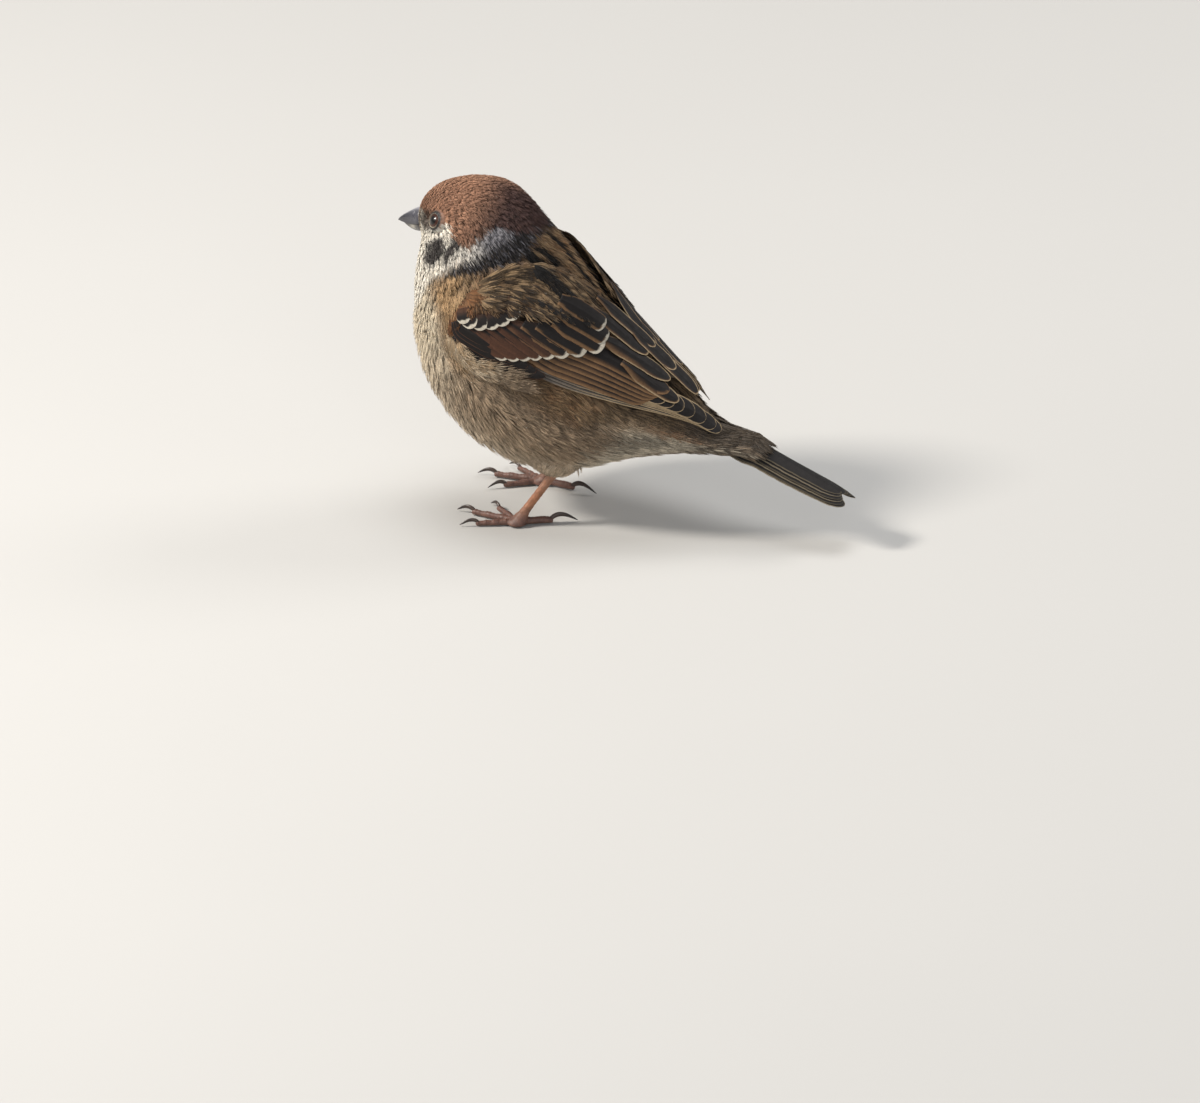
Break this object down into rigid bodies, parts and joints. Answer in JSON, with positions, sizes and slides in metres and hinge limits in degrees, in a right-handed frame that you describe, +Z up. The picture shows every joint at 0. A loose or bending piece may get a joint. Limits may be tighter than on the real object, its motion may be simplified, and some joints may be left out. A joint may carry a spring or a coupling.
{
  "type": "eurasian tree sparrow",
  "caption": "Life-size still model of a small brown finch-like bird standing on both feet, body sloping, wings folded, head turned a little to its right.",
  "frame": {"origin": "on the floor, at the middle of the bird's outline seen from above", "axes": "-Y is the way the body faces, +X is the bird's left, +Z is up; the feet stand on z = 0"},
  "size_m": [0.0408, 0.113, 0.0801],
  "materials": {
    "crown_plumage": "soft chestnut-brown feathers with fine darker barbs",
    "neck_plumage": "soft off-white feathers, black ear spot and bib",
    "body_plumage": "loose grey-buff feathers below, buff-brown streaked with black above",
    "wing_plumage": "dark quills with warm buff edges and two white bars",
    "tail_plumage": "dark brown quills with thin pale edges",
    "leg_skin": "scaly pinkish-brown skin, satin",
    "claw_horn": "dark horn, satin",
    "bill_horn": "slate-grey horn, satin",
    "eye": "very dark brown, wet gloss"
  },
  "bodies": {
    "root": {"head": "crown_plumage", "neck": "neck_plumage", "trunk": "body_plumage", "rump": "body_plumage", "eye_L": "eye", "wing_L": "wing_plumage", "thigh_L": "body_plumage", "tarsus_L": "leg_skin", "toe_inner_L": "leg_skin", "toe_middle_L": "leg_skin", "toe_outer_L": "leg_skin", "toe_hind_L": "leg_skin", "claw_inner_L": "claw_horn", "claw_middle_L": "claw_horn", "claw_outer_L": "claw_horn", "claw_hind_L": "claw_horn", "eye_R": "eye", "wing_R": "wing_plumage", "thigh_R": "body_plumage", "tarsus_R": "leg_skin", "toe_inner_R": "leg_skin", "toe_middle_R": "leg_skin", "toe_outer_R": "leg_skin", "toe_hind_R": "leg_skin", "claw_inner_R": "claw_horn", "claw_middle_R": "claw_horn", "claw_outer_R": "claw_horn", "claw_hind_R": "claw_horn", "bill_upper": "bill_horn", "bill_lower": "bill_horn", "tail": "tail_plumage"}
  },
  "joints": []
}
